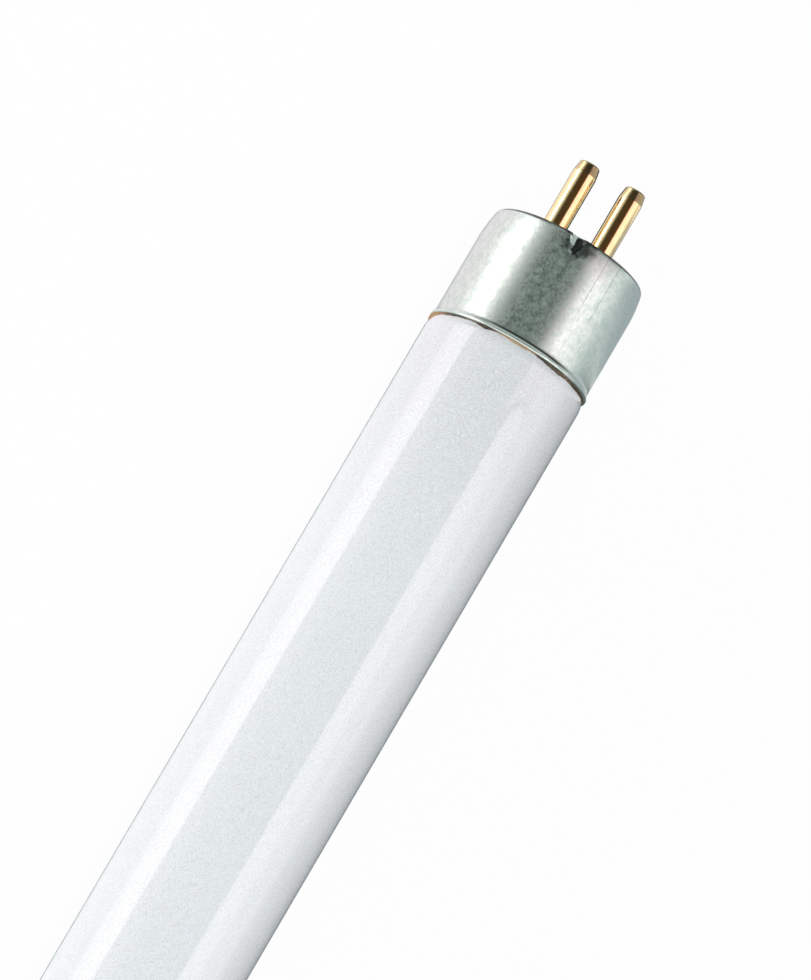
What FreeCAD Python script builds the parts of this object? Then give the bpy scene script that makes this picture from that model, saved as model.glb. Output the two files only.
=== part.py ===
import FreeCAD, Part
import math
import os

# A straight 16 mm fluorescent lamp with a two-pin cap at each end
# Millimetres. X runs along the lamp, the pins of each cap lie side by side along Y, and the origin is mid-length.

# Lamp
FACE_TO_FACE = 287.4

# Glass tube, necked in under the caps
TUBE_R = 8.0
TUBE_WALL = 0.8
NECK_DROP = 0.75
NECK_LENGTH = 2.6
NECK_BELOW_LIP = 1.2
RIM_R = 0.5
RIM_TO_DISC = 1.7

# Glass stem, a funnel that runs back inside the tube and ends in the press that holds the lead wires
FUNNEL_LENGTH = 6.3
WELL_MARGIN = 0.475
WELL_DEPTH = 12.3
STEM_WALL = 0.8
PRESS_LENGTH = 3.5
GROOVE_R = 0.3
GROOVE_BELOW_RIM = 3.15
GAS_FUNNEL_LENGTH = 4.4

# Pump tube, sealed off in the well of the left stem
PUMP_TUBE_R = 1.5
PUMP_BORE_R = 0.7
PUMP_TUBE_BELOW_RIM = 1.5
PUMP_SEAL_LENGTH = 2.2

# Cap shell, drawn from sheet
SHELL_WALL = 0.3
SHELL_LENGTH = 11.5
FLARE_BEND_R = 1.5
FLARE_DEG = 30.0
SHOULDER_LENGTH = 3.2
SHOULDER_DROP = 0.38
CORNER_R = 0.5

# Stakes punched into the edge of the shell with a tapered punch
STAKE_NOSE_R = 0.35
STAKE_MOUTH_R = 0.9
STAKE_LENGTH = 1.55
STAKE_START_DEPTH = 0.3
STAKE_TILT_DEG = 10.0
STAKE_OVERRUN = 1.5

# Insulating disc with a boss that stands out through the shell
DISC_THICKNESS = 1.2
BOSS_MARGIN = 1.275
BOSS_RISE = 0.45
BOSS_EDGE_R = 0.2

# Pins
PIN_SPACING = 4.75
PIN_R = 1.15
PIN_LENGTH = 7.5
PIN_SHOULDER = 0.2
PIN_SHANK_WALL = 0.4
PIN_HEAD_LAP = 0.5
PIN_HEAD_THICKNESS = 0.45
PIN_HEAD_CHAMFER = 0.15
TIP_LENGTH = 1.1
TIP_DROP = 0.15
TIP_SWELL = 0.03
TIP_EDGE_R = 0.18
CRIMP_LENGTH = 1.5
CRIMP_CONE_LENGTH = 0.8

# Lead wires
LEAD_R = 0.25
LEAD_SEAL_DEPTH = 2.5

# Cement between glass and shell, with a bead squeezed out under the lip
CEMENT_THICKNESS = 0.3
CEMENT_BELOW_RIM = 1.3
BEAD_BELOW_LIP = 0.5
BEAD_CREST_BELOW_LIP = 0.17
BEAD_INSIDE_LIP = 0.05

# Clearances
DISC_CLEARANCE = 0.05
BOSS_CLEARANCE = 0.1
SHANK_CLEARANCE = 0.03
STAKE_CLEARANCE = 0.05

# Radii that follow from the sizes above
half_spacing = PIN_SPACING / 2
half_wall = SHELL_WALL / 2
bore_r = TUBE_R - TUBE_WALL
neck_r = TUBE_R - NECK_DROP
neck_bore_r = neck_r - TUBE_WALL
shell_r = neck_r + CEMENT_THICKNESS + SHELL_WALL
boss_r = half_spacing + PIN_R + BOSS_MARGIN
end_hole_r = boss_r + BOSS_CLEARANCE
well_r = half_spacing + LEAD_R + WELL_MARGIN
stem_r = well_r + STEM_WALL
shank_r = PIN_R - PIN_SHOULDER
pin_bore_r = shank_r - PIN_SHANK_WALL
head_r = shank_r + PIN_HEAD_LAP
tip_r = PIN_R - TIP_DROP

# Places along the lamp that follow from them, measured outward from the lip of a cap
disc_face = SHELL_LENGTH + BOSS_RISE
shell_end_inside = SHELL_LENGTH - SHELL_WALL
disc_inside = shell_end_inside - DISC_THICKNESS
rim_end = disc_inside - RIM_TO_DISC
well_floor = rim_end - WELL_DEPTH
stem_end = well_floor - PRESS_LENGTH
pin_tip = disc_face + PIN_LENGTH
lip_x = FACE_TO_FACE / 2 - disc_face

ORIGIN = FreeCAD.Vector(0, 0, 0)
ALONG = FreeCAD.Vector(1, 0, 0)


def at(h, r):
    """Point of a right-hand section: h outward from the lip of the cap, r out from the axis."""
    return FreeCAD.Vector(lip_x + h, r, 0)


def line(a, b):
    return Part.LineSegment(a, b).toShape()


def run(*points):
    """Straight edges through the points in turn."""
    return [line(a, b) for a, b in zip(points[:-1], points[1:])]


def arc(a, through, b):
    return Part.Arc(a, through, b).toShape()


def round_about(centre, radius, start_deg, end_deg):
    """Arc about a point of the section. 0 degrees points outward along the lamp, 90 away from its axis."""

    def place(deg):
        turn = math.radians(deg)
        return centre + FreeCAD.Vector(radius * math.cos(turn), radius * math.sin(turn), 0)

    return arc(place(start_deg), place((start_deg + end_deg) / 2), place(end_deg))


def ogee(a, b):
    """Two equal arcs that leave a and reach b along the lamp's axis, with one tangent where they meet."""
    length = abs(b.x - a.x)
    drop = abs(b.y - a.y)
    bend = (length**2 + drop**2) / (4 * drop)
    sag = bend - math.sqrt(bend**2 - (length / 4) ** 2)
    way = math.copysign(1, b.y - a.y)
    middle = (a + b) / 2
    early = FreeCAD.Vector((a.x + middle.x) / 2, a.y + way * sag, 0)
    late = FreeCAD.Vector((b.x + middle.x) / 2, b.y - way * sag, 0)
    return [arc(a, early, middle), arc(middle, late, b)]


def turned(edges):
    """The solid that the closed section sweeps round the lamp's axis."""
    wire = Part.Wire(Part.__sortEdges__(edges))
    return Part.Face(wire).revolve(ORIGIN, ALONG, 360)


def mirrored(shape):
    return shape.mirror(ORIGIN, ALONG)


def off_axis(shape, y):
    moved = shape.copy()
    moved.translate(FreeCAD.Vector(0, y, 0))
    return moved


# Cap shell section, with each bend concentric inside and out so that the sheet keeps one thickness
flare_turn = math.radians(FLARE_DEG)
flare_start = FLARE_BEND_R * math.sin(flare_turn) + half_wall
flare_centre = at(flare_start, shell_r - half_wall + FLARE_BEND_R)
lip_centre = at(half_wall, flare_centre.y - FLARE_BEND_R * math.cos(flare_turn))

shoulder_bend = (SHOULDER_LENGTH**2 + SHOULDER_DROP**2) / (2 * SHOULDER_DROP)
shoulder_start = SHELL_LENGTH - SHOULDER_LENGTH
shoulder_centre = at(shoulder_start, shell_r - shoulder_bend)
corner_h = SHELL_LENGTH - CORNER_R
corner_reach = math.sqrt((shoulder_bend - CORNER_R) ** 2 - (corner_h - shoulder_start) ** 2)
corner_centre = at(corner_h, shoulder_centre.y + corner_reach)
corner_deg = math.degrees(math.atan2(corner_reach, corner_h - shoulder_start))


def shell_side(depth):
    """One side of the sheet, depth below its outer face, from the flare to the hole in its end."""
    return [
        round_about(flare_centre, FLARE_BEND_R - half_wall + depth, -90 - FLARE_DEG, -90),
        line(at(flare_start, shell_r - depth), at(shoulder_start, shell_r - depth)),
        round_about(shoulder_centre, shoulder_bend - depth, 90, corner_deg),
        round_about(corner_centre, CORNER_R - depth, corner_deg, 0),
        line(at(SHELL_LENGTH - depth, corner_centre.y), at(SHELL_LENGTH - depth, end_hole_r)),
    ]


def stake(grown, side):
    """Tapered punch, grown all round, that enters the shell's wall and widens out through its edge."""
    start_r = shell_r - STAKE_START_DEPTH + STAKE_NOSE_R
    start = FreeCAD.Vector(lip_x + SHELL_LENGTH - STAKE_LENGTH, 0, side * start_r)
    tilt = math.radians(STAKE_TILT_DEG)
    way = FreeCAD.Vector(math.cos(tilt), 0, -side * math.sin(tilt))
    taper = math.atan((STAKE_MOUTH_R - STAKE_NOSE_R) / STAKE_LENGTH)
    nose_r = STAKE_NOSE_R + grown
    seam = start - way * (nose_r * math.sin(taper))
    seam_r = nose_r * math.cos(taper)
    reach = STAKE_LENGTH + STAKE_OVERRUN
    cone = Part.makeCone(seam_r, seam_r + reach * math.tan(taper), reach, seam, way)
    return cone.fuse(Part.makeSphere(nose_r, start))


def drawn_shell():
    """The sheet before it is staked."""
    lip = round_about(lip_centre, half_wall, 90 - FLARE_DEG, 270 - FLARE_DEG)
    hole_edge = line(at(SHELL_LENGTH, end_hole_r), at(shell_end_inside, end_hole_r))
    return turned(shell_side(0) + [hole_edge] + shell_side(SHELL_WALL) + [lip])


def staked_shell(shell):
    """The sheet pushed in by a punch above and below, midway between the pins."""
    axis_and_ends = run(
        at(flare_start, shell_r), at(flare_start, 0), at(SHELL_LENGTH, 0), at(SHELL_LENGTH, end_hole_r)
    )
    envelope = turned(shell_side(0)[1:] + axis_and_ends)
    for side in (1, -1):
        shell = shell.fuse(stake(SHELL_WALL, side).common(envelope))
    for side in (1, -1):
        shell = shell.cut(stake(0, side))
    return shell.removeSplitter()


def insulating_disc():
    """Seated on the inside of the shell's end, with notches for the stakes and a hole for each pin."""
    disc_r = corner_centre.y - DISC_CLEARANCE
    boss_edge = disc_face - BOSS_EDGE_R
    section = run(
        at(disc_face, boss_r - BOSS_EDGE_R),
        at(disc_face, 0),
        at(disc_inside, 0),
        at(disc_inside, disc_r),
        at(shell_end_inside, disc_r),
        at(shell_end_inside, boss_r),
        at(boss_edge, boss_r),
    )
    disc = turned(section + [round_about(at(boss_edge, boss_r - BOSS_EDGE_R), BOSS_EDGE_R, 0, 90)])
    hole = Part.makeCylinder(shank_r + SHANK_CLEARANCE, disc_face - disc_inside, at(disc_inside, 0), ALONG)
    for side in (1, -1):
        disc = disc.cut(stake(SHELL_WALL + STAKE_CLEARANCE, side))
        disc = disc.cut(off_axis(hole, side * half_spacing))
    return disc


def hollow_pin():
    """Shouldered on the boss, headed over inside the disc, and crimped on the lead wire at its tapered tip."""
    head_end = disc_inside - PIN_HEAD_THICKNESS
    tip_start = pin_tip - TIP_LENGTH
    tip_edge = pin_tip - TIP_EDGE_R
    tip_middle = at((tip_start + tip_edge) / 2, (PIN_R + tip_r) / 2 + TIP_SWELL)
    crimp_start = pin_tip - CRIMP_LENGTH
    section = run(
        at(pin_tip, tip_r - TIP_EDGE_R),
        at(pin_tip, LEAD_R),
        at(crimp_start, LEAD_R),
        at(crimp_start - CRIMP_CONE_LENGTH, pin_bore_r),
        at(head_end, pin_bore_r),
        at(head_end, head_r - PIN_HEAD_CHAMFER),
        at(head_end + PIN_HEAD_CHAMFER, head_r),
        at(disc_inside, head_r),
        at(disc_inside, shank_r),
        at(disc_face, shank_r),
        at(disc_face, PIN_R),
        at(tip_start, PIN_R),
    )
    tip = [
        arc(at(tip_start, PIN_R), tip_middle, at(tip_edge, tip_r)),
        round_about(at(tip_edge, tip_r - TIP_EDGE_R), TIP_EDGE_R, 90, 0),
    ]
    return turned(section + tip)


def lead_wire():
    """Sealed into the press and drawn straight through the pin to its tip."""
    start = well_floor - LEAD_SEAL_DEPTH
    return Part.makeCylinder(LEAD_R, pin_tip - start, at(start, 0), ALONG)


def between_ends(right, left, right_end, left_end, radius, start):
    """A section of both ends joined along the tube's wall and along its axis."""
    wall = line(at(start, radius), mirrored(Part.Vertex(at(start, radius))).Point)
    axis = line(at(right_end, 0), mirrored(Part.Vertex(at(left_end, 0))).Point)
    return turned(right + [mirrored(edge) for edge in left] + [wall, axis])


def glass_outside():
    """The outer form of the glass: tube, necks, rims, funnels and wells, with the pump tube at the left."""
    start = -NECK_BELOW_LIP
    neck_end = at(start + NECK_LENGTH, neck_r)
    rim_h = rim_end - RIM_R
    well_corner = at(well_floor, well_r)
    throat = at(rim_h - FUNNEL_LENGTH, well_r)
    end = (
        ogee(at(start, TUBE_R), neck_end)
        + run(neck_end, at(rim_h, neck_r))
        + [round_about(at(rim_h, neck_r - RIM_R), RIM_R, 90, -90)]
        + ogee(at(rim_h, neck_r - 2 * RIM_R), throat)
        + run(throat, well_corner)
    )
    pump_end = rim_end - PUMP_TUBE_BELOW_RIM
    dome_h = pump_end - PUMP_TUBE_R
    dome = round_about(at(dome_h, 0), PUMP_TUBE_R, 90, 0)
    pump_tube = run(well_corner, at(well_floor, PUMP_TUBE_R), at(dome_h, PUMP_TUBE_R)) + [dome]
    plain_floor = run(well_corner, at(well_floor, 0))
    return between_ends(end + plain_floor, end + pump_tube, well_floor, pump_end, TUBE_R, start)


def gas_space():
    """The space sealed inside the glass, which reaches into the pump tube at the left."""
    start = -NECK_BELOW_LIP
    neck_end = at(start + NECK_LENGTH, neck_bore_r)
    groove_h = rim_end - GROOVE_BELOW_RIM
    stem_top = at(groove_h - GAS_FUNNEL_LENGTH, stem_r)
    stem_corner = at(stem_end, stem_r)
    end = (
        ogee(at(start, bore_r), neck_end)
        + run(neck_end, at(groove_h, neck_bore_r))
        + [round_about(at(groove_h, neck_bore_r - GROOVE_R), GROOVE_R, 90, -90)]
        + ogee(at(groove_h, neck_bore_r - 2 * GROOVE_R), stem_top)
        + run(stem_top, stem_corner)
    )
    bore_end = rim_end - PUMP_TUBE_BELOW_RIM - PUMP_SEAL_LENGTH
    pump_bore = run(stem_corner, at(stem_end, PUMP_BORE_R), at(bore_end, PUMP_BORE_R), at(bore_end, 0))
    plain_end = run(stem_corner, at(stem_end, 0))
    return between_ends(end + plain_end, end + pump_bore, stem_end, bore_end, bore_r, start)


def cement(glass, shell):
    """What fills the room between glass and shell, from the bead under the lip to near the glass rim."""
    inside_sheet = shell_r - half_wall
    inside_neck = neck_r - TUBE_WALL / 2
    inside_tube = TUBE_R - TUBE_WALL / 2
    bead_foot = at(-BEAD_BELOW_LIP, inside_tube)
    bead_crest = at(-BEAD_CREST_BELOW_LIP, lip_centre.y + half_wall - BEAD_INSIDE_LIP)
    fill_end = rim_end - CEMENT_BELOW_RIM
    section = run(
        lip_centre,
        at(flare_start, inside_sheet),
        at(fill_end, inside_sheet),
        at(fill_end, inside_neck),
        at(-BEAD_BELOW_LIP, inside_neck),
        bead_foot,
    )
    return turned(section + [arc(bead_foot, bead_crest, lip_centre)]).cut(glass).cut(shell)


glass_form = glass_outside()
shell_form = drawn_shell()
pin = hollow_pin()
lead = lead_wire()
right_pieces = {
    "cap_shell": staked_shell(shell_form),
    "insulating_disc": insulating_disc(),
    "cement_ring": cement(glass_form, shell_form),
    "front_pin": off_axis(pin, -half_spacing),
    "rear_pin": off_axis(pin, half_spacing),
    "front_lead": off_axis(lead, -half_spacing),
    "rear_lead": off_axis(lead, half_spacing),
}
nodes = {f"right_{name}": shape for name, shape in right_pieces.items()}
nodes.update({f"left_{name}": mirrored(shape) for name, shape in right_pieces.items()})

glass = glass_form.cut(gas_space())
for name, shape in nodes.items():
    if name.endswith("_lead"):
        glass = glass.cut(shape)
nodes["glass_tube"] = glass

os.makedirs("parts", exist_ok=True)
for name, shape in nodes.items():
    solid = shape.Solids[0]
    solid.exportStep(f"parts/{name}.step")
    print(f"{name}: {len(shape.Solids)} solid, {solid.Volume:.2f} cubic mm, valid {solid.isValid()}")
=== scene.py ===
# %% [markdown]
# # A slim fluorescent lamp, close up
# The lamp is a white-coated glass tube with a drawn aluminium cap on each end and two brass pins in each
# cap. Nearly every piece of it is round about one line, so nearly every piece here is one drawn section
# carried round an axis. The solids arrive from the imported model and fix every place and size. This file
# dresses them.

# %% Load the solids and keep their box
import math

import bmesh
import bpy
import numpy as np
from mathutils import Matrix, Vector


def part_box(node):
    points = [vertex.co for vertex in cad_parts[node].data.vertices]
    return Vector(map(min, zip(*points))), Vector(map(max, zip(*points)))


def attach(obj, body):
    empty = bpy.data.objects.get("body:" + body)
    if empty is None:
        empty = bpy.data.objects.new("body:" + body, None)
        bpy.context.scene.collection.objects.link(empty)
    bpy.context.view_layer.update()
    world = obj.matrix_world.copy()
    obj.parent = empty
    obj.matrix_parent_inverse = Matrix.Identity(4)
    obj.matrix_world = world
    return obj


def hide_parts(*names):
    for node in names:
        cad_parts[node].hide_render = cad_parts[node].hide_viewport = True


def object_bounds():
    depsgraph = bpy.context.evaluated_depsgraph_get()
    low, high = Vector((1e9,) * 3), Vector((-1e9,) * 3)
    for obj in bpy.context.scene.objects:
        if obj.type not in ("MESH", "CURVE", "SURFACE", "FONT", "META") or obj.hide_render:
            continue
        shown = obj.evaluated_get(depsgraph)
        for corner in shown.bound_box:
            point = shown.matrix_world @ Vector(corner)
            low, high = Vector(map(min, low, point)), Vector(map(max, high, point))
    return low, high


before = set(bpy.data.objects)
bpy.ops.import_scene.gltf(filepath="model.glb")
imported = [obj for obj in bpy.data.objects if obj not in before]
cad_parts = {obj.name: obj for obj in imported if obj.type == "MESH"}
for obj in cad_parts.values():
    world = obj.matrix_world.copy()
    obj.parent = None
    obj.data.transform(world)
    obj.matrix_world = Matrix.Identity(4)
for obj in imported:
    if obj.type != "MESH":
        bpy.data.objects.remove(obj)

MM = 0.001
cad_box = [[float(value) for value in corner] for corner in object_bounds()]
lip, cap_end = (float(corner[0]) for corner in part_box("right_cap_shell"))
pin_tip = float(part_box("right_front_pin")[1][0])
disc_inside, disc_face = (float(corner[0]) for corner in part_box("right_insulating_disc"))
print(f"lip at {lip / MM:.2f} mm, cap end at {cap_end / MM:.2f} mm, pin tip at {pin_tip / MM:.2f} mm")

# %% [markdown]
# ## Camera
# The photograph was taken from well back, because the two edges of the tube stay parallel all the way down
# the picture. A long lens gives that. The tube leans to the right in the picture, and its capped end points
# a little away from the viewer, so the flat end of the cap is just out of sight. One point is enough to
# place the camera: the axis of the tube just above the lip of the cap has a known pixel, and the tube's
# width sets the scale.

# %% Camera
PHOTO_WIDTH_PX = 811
PHOTO_HEIGHT_PX = 980
MARK_X_PX = 508
MARK_Y_PX = 358
MARK_ABOVE_LIP = 0.16 * MM
PX_PER_MM = 11.11
LEAN = math.radians(30.4)
TILT = math.radians(13.0)
LENS_MM = 900.0
SENSOR_MM = 36.0
VIEW_REACH = 100.0

to_camera = Vector((-math.sin(TILT), 0, math.cos(TILT)))
up_the_tube = Vector((math.cos(TILT), 0, math.sin(TILT)))
across_the_tube = Vector((0, -1, 0))
picture_right = math.sin(LEAN) * up_the_tube + math.cos(LEAN) * across_the_tube
picture_up = math.cos(LEAN) * up_the_tube - math.sin(LEAN) * across_the_tube

picture_height = PHOTO_HEIGHT_PX / PX_PER_MM * MM
distance = picture_height * LENS_MM / SENSOR_MM
mark = Vector((lip + MARK_ABOVE_LIP, 0, 0))
right_of_middle = (MARK_X_PX - PHOTO_WIDTH_PX / 2) / PX_PER_MM * MM
above_middle = (PHOTO_HEIGHT_PX / 2 - MARK_Y_PX) / PX_PER_MM * MM
middle = mark - picture_right * right_of_middle - picture_up * above_middle

camera = bpy.data.objects.new("camera", bpy.data.cameras.new("camera"))
camera.data.lens = LENS_MM
camera.data.sensor_fit = "VERTICAL"
camera.data.sensor_height = SENSOR_MM
camera.data.clip_end = VIEW_REACH
camera_turn = Matrix((picture_right, picture_up, to_camera)).transposed()
camera.matrix_world = Matrix.Translation(middle + to_camera * distance) @ camera_turn.to_4x4()
bpy.context.scene.collection.objects.link(camera)
bpy.context.scene.camera = camera
bpy.context.scene.view_settings.view_transform = "Standard"
print(f"camera {distance:.2f} m from the lamp")

# %% [markdown]
# ## Sections
# A turner thinks of a round piece as half of its section. Here a section is an array of points with two
# columns, the distance along the lamp and the distance from the axis, put together from straight runs and
# arcs. It could also be drawn as a curve and spun with a modifier, but as plain arrays the section can be
# bent, dented or made uneven before the mesh exists.

# %% Straight runs, arcs and the double bend of a neck
SAME_PLACE = 1e-9


def straight(start, end, count=2):
    """Points from start to end: start plus a share of the way, with the share running from 0 to 1."""
    share = np.linspace(0, 1, count)[:, None]
    return np.asarray(start) + share * (np.asarray(end) - np.asarray(start))


def bend(centre, radius, start_deg, end_deg, count=12):
    """Points on a circle: centre plus radius times cosine along the lamp and sine away from the axis."""
    angle = np.radians(np.linspace(start_deg, end_deg, count))
    return np.asarray(centre) + radius * np.stack([np.cos(angle), np.sin(angle)], axis=1)


def double_bend(start, end, count=10):
    """Two equal arcs between two runs along the lamp.

    The first is a circle's sag up to half way, and the second is the same turned round."""
    start, end = np.asarray(start), np.asarray(end)
    length, drop = np.abs(end - start)
    radius = (length**2 + drop**2) / (4 * drop)
    along = np.linspace(0, 0.5, count)
    sag = (radius - np.sqrt(radius**2 - (along * length) ** 2)) / drop
    first = np.stack([along, sag], axis=1)
    second = 1 - first[::-1]
    return start + np.concatenate([first, second[1:]]) * (end - start)


def joined(*runs):
    """One section from several runs, without the points that two neighbours share."""
    points = np.concatenate(runs)
    step = np.linalg.norm(np.diff(points, axis=0), axis=1)
    return points[np.concatenate([[True], step > SAME_PLACE])]


print("a double bend of 2.6 by 0.75 mm has", len(double_bend((0, 8), (2.6, 7.25))), "points")

# %% [markdown]
# ## From a section to a mesh
# The section gives the rows of a grid and the angle round the axis gives its columns. Whole arrays go to
# the mesh at once. A section that starts and ends on the axis leaves many points at one place there, so the
# doubles are merged, and then the faces are turned outwards. The far end of the lamp is the same grid with
# its length reversed.

# %% Carry a section round an axis
SHARP_EDGE = math.radians(40)
MERGE_WITHIN = 1e-7
ENDS = {"right": 1.0, "left": -1.0}


def spun(section, columns):
    """Grid of places: length along the lamp, radius times cosine of the angle, radius times its sine."""
    angle = np.linspace(0, 2 * np.pi, columns, endpoint=False)
    length = np.repeat(section[:, :1], columns, axis=1)
    radius = section[:, 1:]
    return np.stack([length, radius * np.cos(angle), radius * np.sin(angle)], axis=2)


def grid_faces(rows, columns, loop):
    """Four corners of each cell. The columns always close on themselves, and the rows do if loop is set."""
    row = np.arange(rows if loop else rows - 1)[:, None]
    column = np.arange(columns)[None, :]
    next_row = (row + 1) % rows
    next_column = (column + 1) % columns
    corners = [row * columns + column, row * columns + next_column]
    corners += [next_row * columns + next_column, next_row * columns + column]
    return np.stack(corners, axis=2).reshape(-1, 4)


def at_end(grid, side):
    """The grid at the right end as it is, or at the left end with its length reversed."""
    return grid * np.array([side, 1.0, 1.0])


def make_piece(name, grid, loop, node, finish):
    """A piece of the lamp from a grid of places in metres, standing in for one of the solids."""
    rows, columns, _ = grid.shape
    mesh = bpy.data.meshes.new(name)
    mesh.from_pydata(grid.reshape(-1, 3), [], grid_faces(rows, columns, loop).tolist())
    shell = bmesh.new()
    shell.from_mesh(mesh)
    bmesh.ops.remove_doubles(shell, verts=shell.verts, dist=MERGE_WITHIN)
    bmesh.ops.recalc_face_normals(shell, faces=shell.faces)
    shell.to_mesh(mesh)
    shell.free()
    mesh.polygons.foreach_set("use_smooth", np.ones(len(mesh.polygons), dtype=bool))
    mesh.set_sharp_from_angle(angle=SHARP_EDGE)
    mesh.materials.append(finish)
    piece = bpy.data.objects.new(name, mesh)
    bpy.context.scene.collection.objects.link(piece)
    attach(piece, "root")
    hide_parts(node)
    print(f"{name}: {len(mesh.polygons)} faces")
    return piece


print("a grid of 3 rows and 8 columns has", len(grid_faces(3, 8, False)), "faces")

# %% [markdown]
# ## Writing a finish
# A finish is a little network of nodes. Wiring it by hand takes many lines, so one small class holds a
# socket and lets sums be written as sums: adding two of them adds a Math node. One method makes any other
# node. Every pattern reads Object coordinates, which are metres in the lamp's own frame, so a speckle keeps
# its real size.

# %% A socket that can be added and multiplied
class Field:
    """One output of a node tree."""

    def __init__(self, tree, socket=None):
        self.tree = tree
        self.socket = socket

    def node(self, kind, settings=None, inputs=None, output=0):
        """Add a node: its settings first, then a value or a link for each named socket."""
        made = self.tree.nodes.new(kind)
        for key, value in (settings or {}).items():
            setattr(made, key, value)
        for key, value in (inputs or {}).items():
            if isinstance(value, Field):
                self.tree.links.new(value.socket, made.inputs[key])
            else:
                made.inputs[key].default_value = value
        return Field(self.tree, made.outputs[output])

    def math(self, operation, first, second=0.0):
        """Add a Math node with two values."""
        return self.node("ShaderNodeMath", {"operation": operation}, {0: first, 1: second})

    def __add__(self, other):
        return self.math("ADD", self, other)

    def __sub__(self, other):
        return self.math("SUBTRACT", self, other)

    def __rsub__(self, other):
        return self.math("SUBTRACT", other, self)

    def __mul__(self, other):
        return self.math("MULTIPLY", self, other)

    def __truediv__(self, other):
        return self.math("DIVIDE", self, other)

    __radd__ = __add__
    __rmul__ = __mul__

    def size(self):
        """The value without its sign."""
        return self.math("ABSOLUTE", self)

    def sign(self):
        """1 where the value is above 0 and -1 where it is below."""
        return self.math("SIGN", self)

    def squared(self):
        """The value times itself."""
        return self * self

    def root(self):
        """The square root of the value."""
        return self.math("SQRT", self)

    def rise(self, low, high):
        """0 below low, 1 above high and a smooth step between."""
        return self.node(
            "ShaderNodeMapRange",
            {"interpolation_type": "SMOOTHSTEP"},
            {"Value": self, "From Min": low, "From Max": high},
        )

    def line_at(self, centre, half, core):
        """1 up to core times half away from a centre line, falling smoothly to 0 at half away."""
        return 1 - (self - centre).size().rise(half * core, half)

    def speckle(self, size, detail=2.0, rough=0.5, stretch=(1, 1, 1)):
        """Noise with spots about size metres across, from about 0.2 to 0.8."""
        laid = self.node("ShaderNodeMapping", {}, {"Vector": self, "Scale": stretch})
        return self.node(
            "ShaderNodeTexNoise",
            {},
            {"Vector": laid, "Scale": 1 / size, "Detail": detail, "Roughness": rough},
        )

    def swing(self, spread):
        """How far a speckle is from its middle, 0.5, times spread."""
        return (self - 0.5) * spread

    def between(self, none, full):
        """Colour between two, by this field. Each is three numbers or another colour field."""
        none, full = (colour if isinstance(colour, Field) else (*colour, 1) for colour in (none, full))
        return self.node("ShaderNodeMix", {"data_type": "RGBA"}, {0: self, 6: none, 7: full}, output=2)

    def split(self):
        """The three parts of a place."""
        parts = self.node("ShaderNodeSeparateXYZ", {}, {0: self}).socket.node
        return [Field(self.tree, part) for part in parts.outputs]


def new_finish(name, **constants):
    """A material with one main shader. Returns the material, its shader and the place of each point."""
    material = bpy.data.materials.new(name)
    material.use_nodes = True
    shader = material.node_tree.nodes["Principled BSDF"]
    for socket, value in constants.items():
        shader.inputs[socket.replace("_", " ")].default_value = value
    place = Field(material.node_tree).node("ShaderNodeTexCoord", output="Object")
    return material, shader, place


def feed(shader, **fields):
    """Link fields to the shader's sockets by name."""
    for socket, field in fields.items():
        field.tree.links.new(field.socket, shader.inputs[socket.replace("_", " ")])
    print("the finish varies in", ", ".join(fields))


def bump(height, strength, distance):
    """A normal tilted by a height field."""
    return height.node("ShaderNodeBump", {}, {"Height": height, "Strength": strength, "Distance": distance})


print("finish tools ready")

# %% [markdown]
# ## The glass
# The tube is drawn glass with a white powder baked on its inside. From outside that is a bright, even,
# slightly cool white under a clear, very smooth surface, so the lights show as long bands with clean edges.
# The powder has a fine grain, and close to the caps the white is a touch greyer. A white base under a clear
# coat gives both at once, where real see-through glass over a second white surface would only be slower.

# %% Finish of the coated glass
GRAIN = 0.13 * MM
GRAIN_SPREAD = 2.6
TINT = 0.24 * MM
TINT_SPREAD = 2.0
CLOUD = 9.0 * MM
CLOUD_SPREAD = 0.1
WHITENESS = 0.78
GREY_REACH = 26.0 * MM
GREY_AT_CAP = 0.3
GREY_POWDER = (0.66, 0.68, 0.7)
ROSY_POWDER = (0.88, 0.886, 0.94)
COOL_POWDER = (0.82, 0.898, 0.92)

glass_finish, glass_shader, place = new_finish(
    "coated_glass",
    Roughness=0.5,
    Specular_IOR_Level=0.2,
    Coat_Weight=1.0,
    Coat_Roughness=0.03,
    Coat_IOR=1.6,
)
along, _, _ = place.split()
grain = place.speckle(GRAIN, detail=1.0)
cloud = place.speckle(CLOUD)
near_cap = along.size().rise(lip - GREY_REACH, lip)
tint = 0.5 + place.speckle(TINT, detail=1.0).swing(TINT_SPREAD)
whiteness = WHITENESS + grain.swing(GRAIN_SPREAD) + cloud.swing(CLOUD_SPREAD) - near_cap * GREY_AT_CAP
feed(glass_shader, Base_Color=whiteness.between(GREY_POWDER, tint.between(ROSY_POWDER, COOL_POWDER)))

# %% [markdown]
# ## The shape of the glass
# A glassblower necks the tube in at each end, rolls its rim and draws a funnel back inside, down to the
# pinch that holds the wires. The left funnel also keeps the sealed stub of the tube that the lamp was
# pumped out through. Each half is one section from the middle of the lamp to the axis, and the left half is
# turned round and joined to the right one, so the whole glass is a single closed skin.

# %% The glass tube
TUBE_R = 8.0 * MM
NECK_R = 7.25 * MM
NECK_BELOW_LIP = 1.2 * MM
NECK_LENGTH = 2.6 * MM
RIM_R = 0.5 * MM
RIM_TO_DISC = 1.7 * MM
WELL_R = 3.1 * MM
WELL_DEPTH = 12.3 * MM
FUNNEL_LENGTH = 6.3 * MM
PUMP_TUBE_R = 1.5 * MM
PUMP_TUBE_BELOW_RIM = 1.5 * MM
GLASS_COLUMNS = 256

rim_end = disc_inside - RIM_TO_DISC
rim_start = rim_end - RIM_R
neck_start = lip - NECK_BELOW_LIP
neck_end = neck_start + NECK_LENGTH
well_floor = rim_end - WELL_DEPTH


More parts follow.
